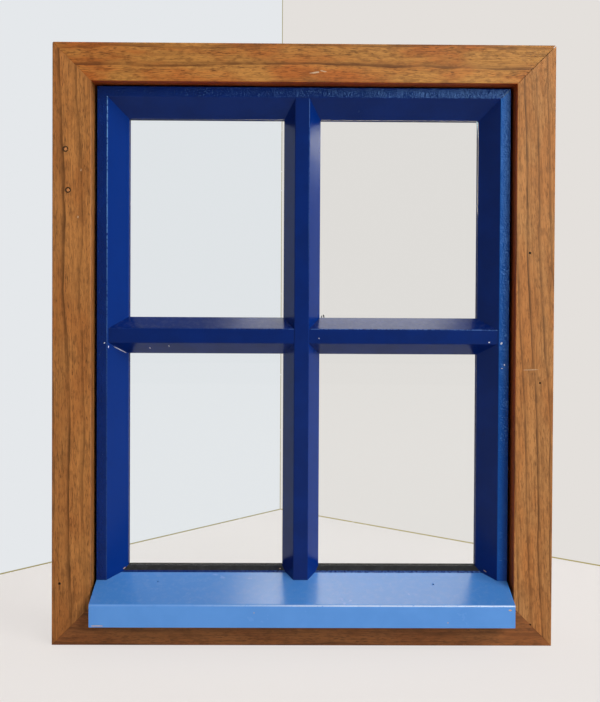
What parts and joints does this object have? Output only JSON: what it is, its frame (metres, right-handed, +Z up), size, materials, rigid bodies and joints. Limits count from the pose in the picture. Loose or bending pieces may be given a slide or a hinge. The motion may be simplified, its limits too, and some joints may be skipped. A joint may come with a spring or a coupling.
{
  "type": "wooden window frame",
  "caption": "Small fixed window: mitred hardwood surround with a splayed painted lining, crossed glazing bars, clear glass and a sloping painted sill.",
  "frame": {"origin": "middle of the flat face that the surround stands on", "axes": "+X to the right seen from the front, +Y from the front to the back, +Z up"},
  "size_m": [0.5, 0.0806, 0.6],
  "materials": {
    "hardwood": "planed brown hardwood, oiled",
    "dark_blue_paint": "dark blue satin paint on wood",
    "light_blue_paint": "light blue satin paint on wood",
    "softwood": "bare planed softwood",
    "dowel_wood": "bare turned hardwood",
    "glass": "clear float glass",
    "steel": "bright steel",
    "old_steel": "tarnished steel"
  },
  "bodies": {
    "root": {"frame_head": "hardwood", "frame_base": "hardwood", "frame_left": "hardwood", "frame_right": "hardwood", "lining_head": "dark_blue_paint", "lining_base": "dark_blue_paint", "lining_left": "dark_blue_paint", "lining_right": "dark_blue_paint", "mullion": "dark_blue_paint", "transom_left": "dark_blue_paint", "transom_right": "dark_blue_paint", "bead_head": "dark_blue_paint", "bead_base": "dark_blue_paint", "bead_left": "dark_blue_paint", "bead_right": "dark_blue_paint", "sill": "light_blue_paint", "stop_head": "softwood", "stop_base": "softwood", "stop_left": "softwood", "stop_right": "softwood", "mitre_dowels": "dowel_wood", "glass_pane": "glass", "stop_pins": "steel", "bead_pins": "steel", "lining_screws": "steel", "bar_nails": "steel", "sill_nails": "steel", "face_nails": "old_steel"}
  },
  "joints": []
}
